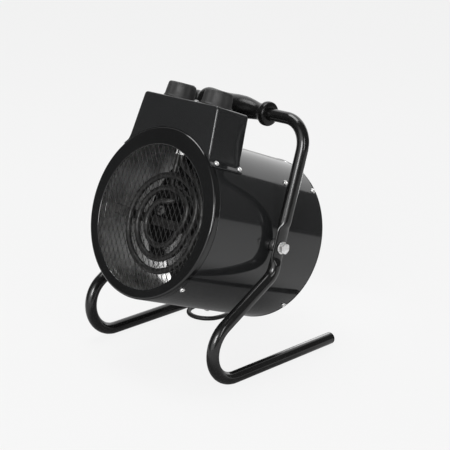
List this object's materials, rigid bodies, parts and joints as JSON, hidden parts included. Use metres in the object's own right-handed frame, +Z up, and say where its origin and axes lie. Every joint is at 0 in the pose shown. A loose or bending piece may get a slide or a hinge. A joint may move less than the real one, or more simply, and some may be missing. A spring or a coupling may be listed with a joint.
{
  "type": "forced air heater",
  "caption": "Portable forced air heater: a steel drum with mesh guards, spiral element and fan tilts in a bent tube stand with a hand grip, under a control box with knobs.",
  "frame": {"origin": "on the floor, under the middle of the heater without its lead", "axes": "+Z up, -Y the way the air blows, +X to the right of someone who faces the front grille"},
  "size_m": [0.3176, 0.3737, 0.3615],
  "materials": {
    "black_paint": "gloss",
    "black_plastic": "gloss",
    "zinc": "zinc plated",
    "steel": "satin",
    "mesh_wire": "satin",
    "element_sheath": "heat darkened",
    "ceramic": "glazed ceramic",
    "fan_metal": "satin",
    "motor_case": "satin",
    "knob_plastic": "matte",
    "lamp_lens": "frosted",
    "cord_rubber": "matte",
    "pin_metal": "nickel plated"
  },
  "bodies": {
    "stand": {"stand_tube": "black_paint", "handle_grip": "black_plastic", "foot_cap_right": "black_plastic", "foot_cap_left": "black_plastic", "pivot_bolt_right": "zinc", "pivot_bolt_left": "zinc", "pivot_washer_right": "zinc", "pivot_washer_left": "zinc", "pivot_spacer_right": "zinc", "pivot_spacer_left": "zinc", "pivot_nut_right": "zinc", "pivot_nut_left": "zinc", "cord_run": "cord_rubber", "cord_coil": "cord_rubber", "cord_tail": "cord_rubber", "cord_tie": "black_plastic", "plug_body": "cord_rubber", "plug_pin_a": "pin_metal", "plug_pin_b": "pin_metal"},
    "heater_drum": {"housing_shell": "black_paint", "front_bezel": "black_paint", "front_grille": "mesh_wire", "inner_liner": "steel", "rear_ring": "black_paint", "rear_grille": "mesh_wire", "heating_element": "element_sheath", "element_support": "steel", "terminal_plate": "steel", "element_nut_right": "zinc", "element_nut_left": "zinc", "element_terminal_right": "ceramic", "element_terminal_left": "ceramic", "thermal_cutout": "steel", "fan_motor": "motor_case", "motor_bracket": "steel", "control_box": "black_paint", "thermostat_body": "black_plastic", "mode_switch": "black_plastic", "indicator_lamp": "lamp_lens", "screw_box_front_right": "zinc", "screw_box_front_left": "zinc", "screw_box_rear_right": "zinc", "screw_box_rear_left": "zinc", "screw_bezel_right": "zinc", "screw_bezel_left": "zinc", "screw_bracket_right": "zinc", "screw_bracket_left": "zinc", "screw_bracket_bottom": "zinc", "screw_rear_top_right": "zinc", "screw_rear_top_left": "zinc", "screw_rear_low_right": "zinc", "screw_rear_low_left": "zinc", "cord_gland": "black_plastic"},
    "fan": {"fan_wheel": "fan_metal", "motor_shaft": "steel", "fan_nut": "zinc"},
    "thermostat_dial": {"thermostat_knob": "knob_plastic", "thermostat_spindle": "steel"},
    "mode_dial": {"mode_knob": "knob_plastic", "mode_spindle": "steel"}
  },
  "joints": [
    {"name": "drum_tilt", "type": "hinge", "parent": "stand", "child": "heater_drum", "pos_m": [0, 0.00998, 0.16506], "axis": [1, 0, 0], "range_deg": [-8, 30], "deforming": ["cord_run"]},
    {"name": "fan_spin", "type": "hinge", "parent": "heater_drum", "child": "fan", "pos_m": [0, 0.00998, 0.16506], "axis": [0, 0.9321, -0.3623], "continuous": true},
    {"name": "thermostat_turn", "type": "hinge", "parent": "heater_drum", "child": "thermostat_dial", "pos_m": [0.034, -0.01621, 0.33617], "axis": [0, 0.3623, 0.9321], "range_deg": [-270, 0]},
    {"name": "mode_turn", "type": "hinge", "parent": "heater_drum", "child": "mode_dial", "pos_m": [-0.034, -0.01621, 0.33617], "axis": [0, 0.3623, 0.9321], "range_deg": [-135, 0]}
  ]
}
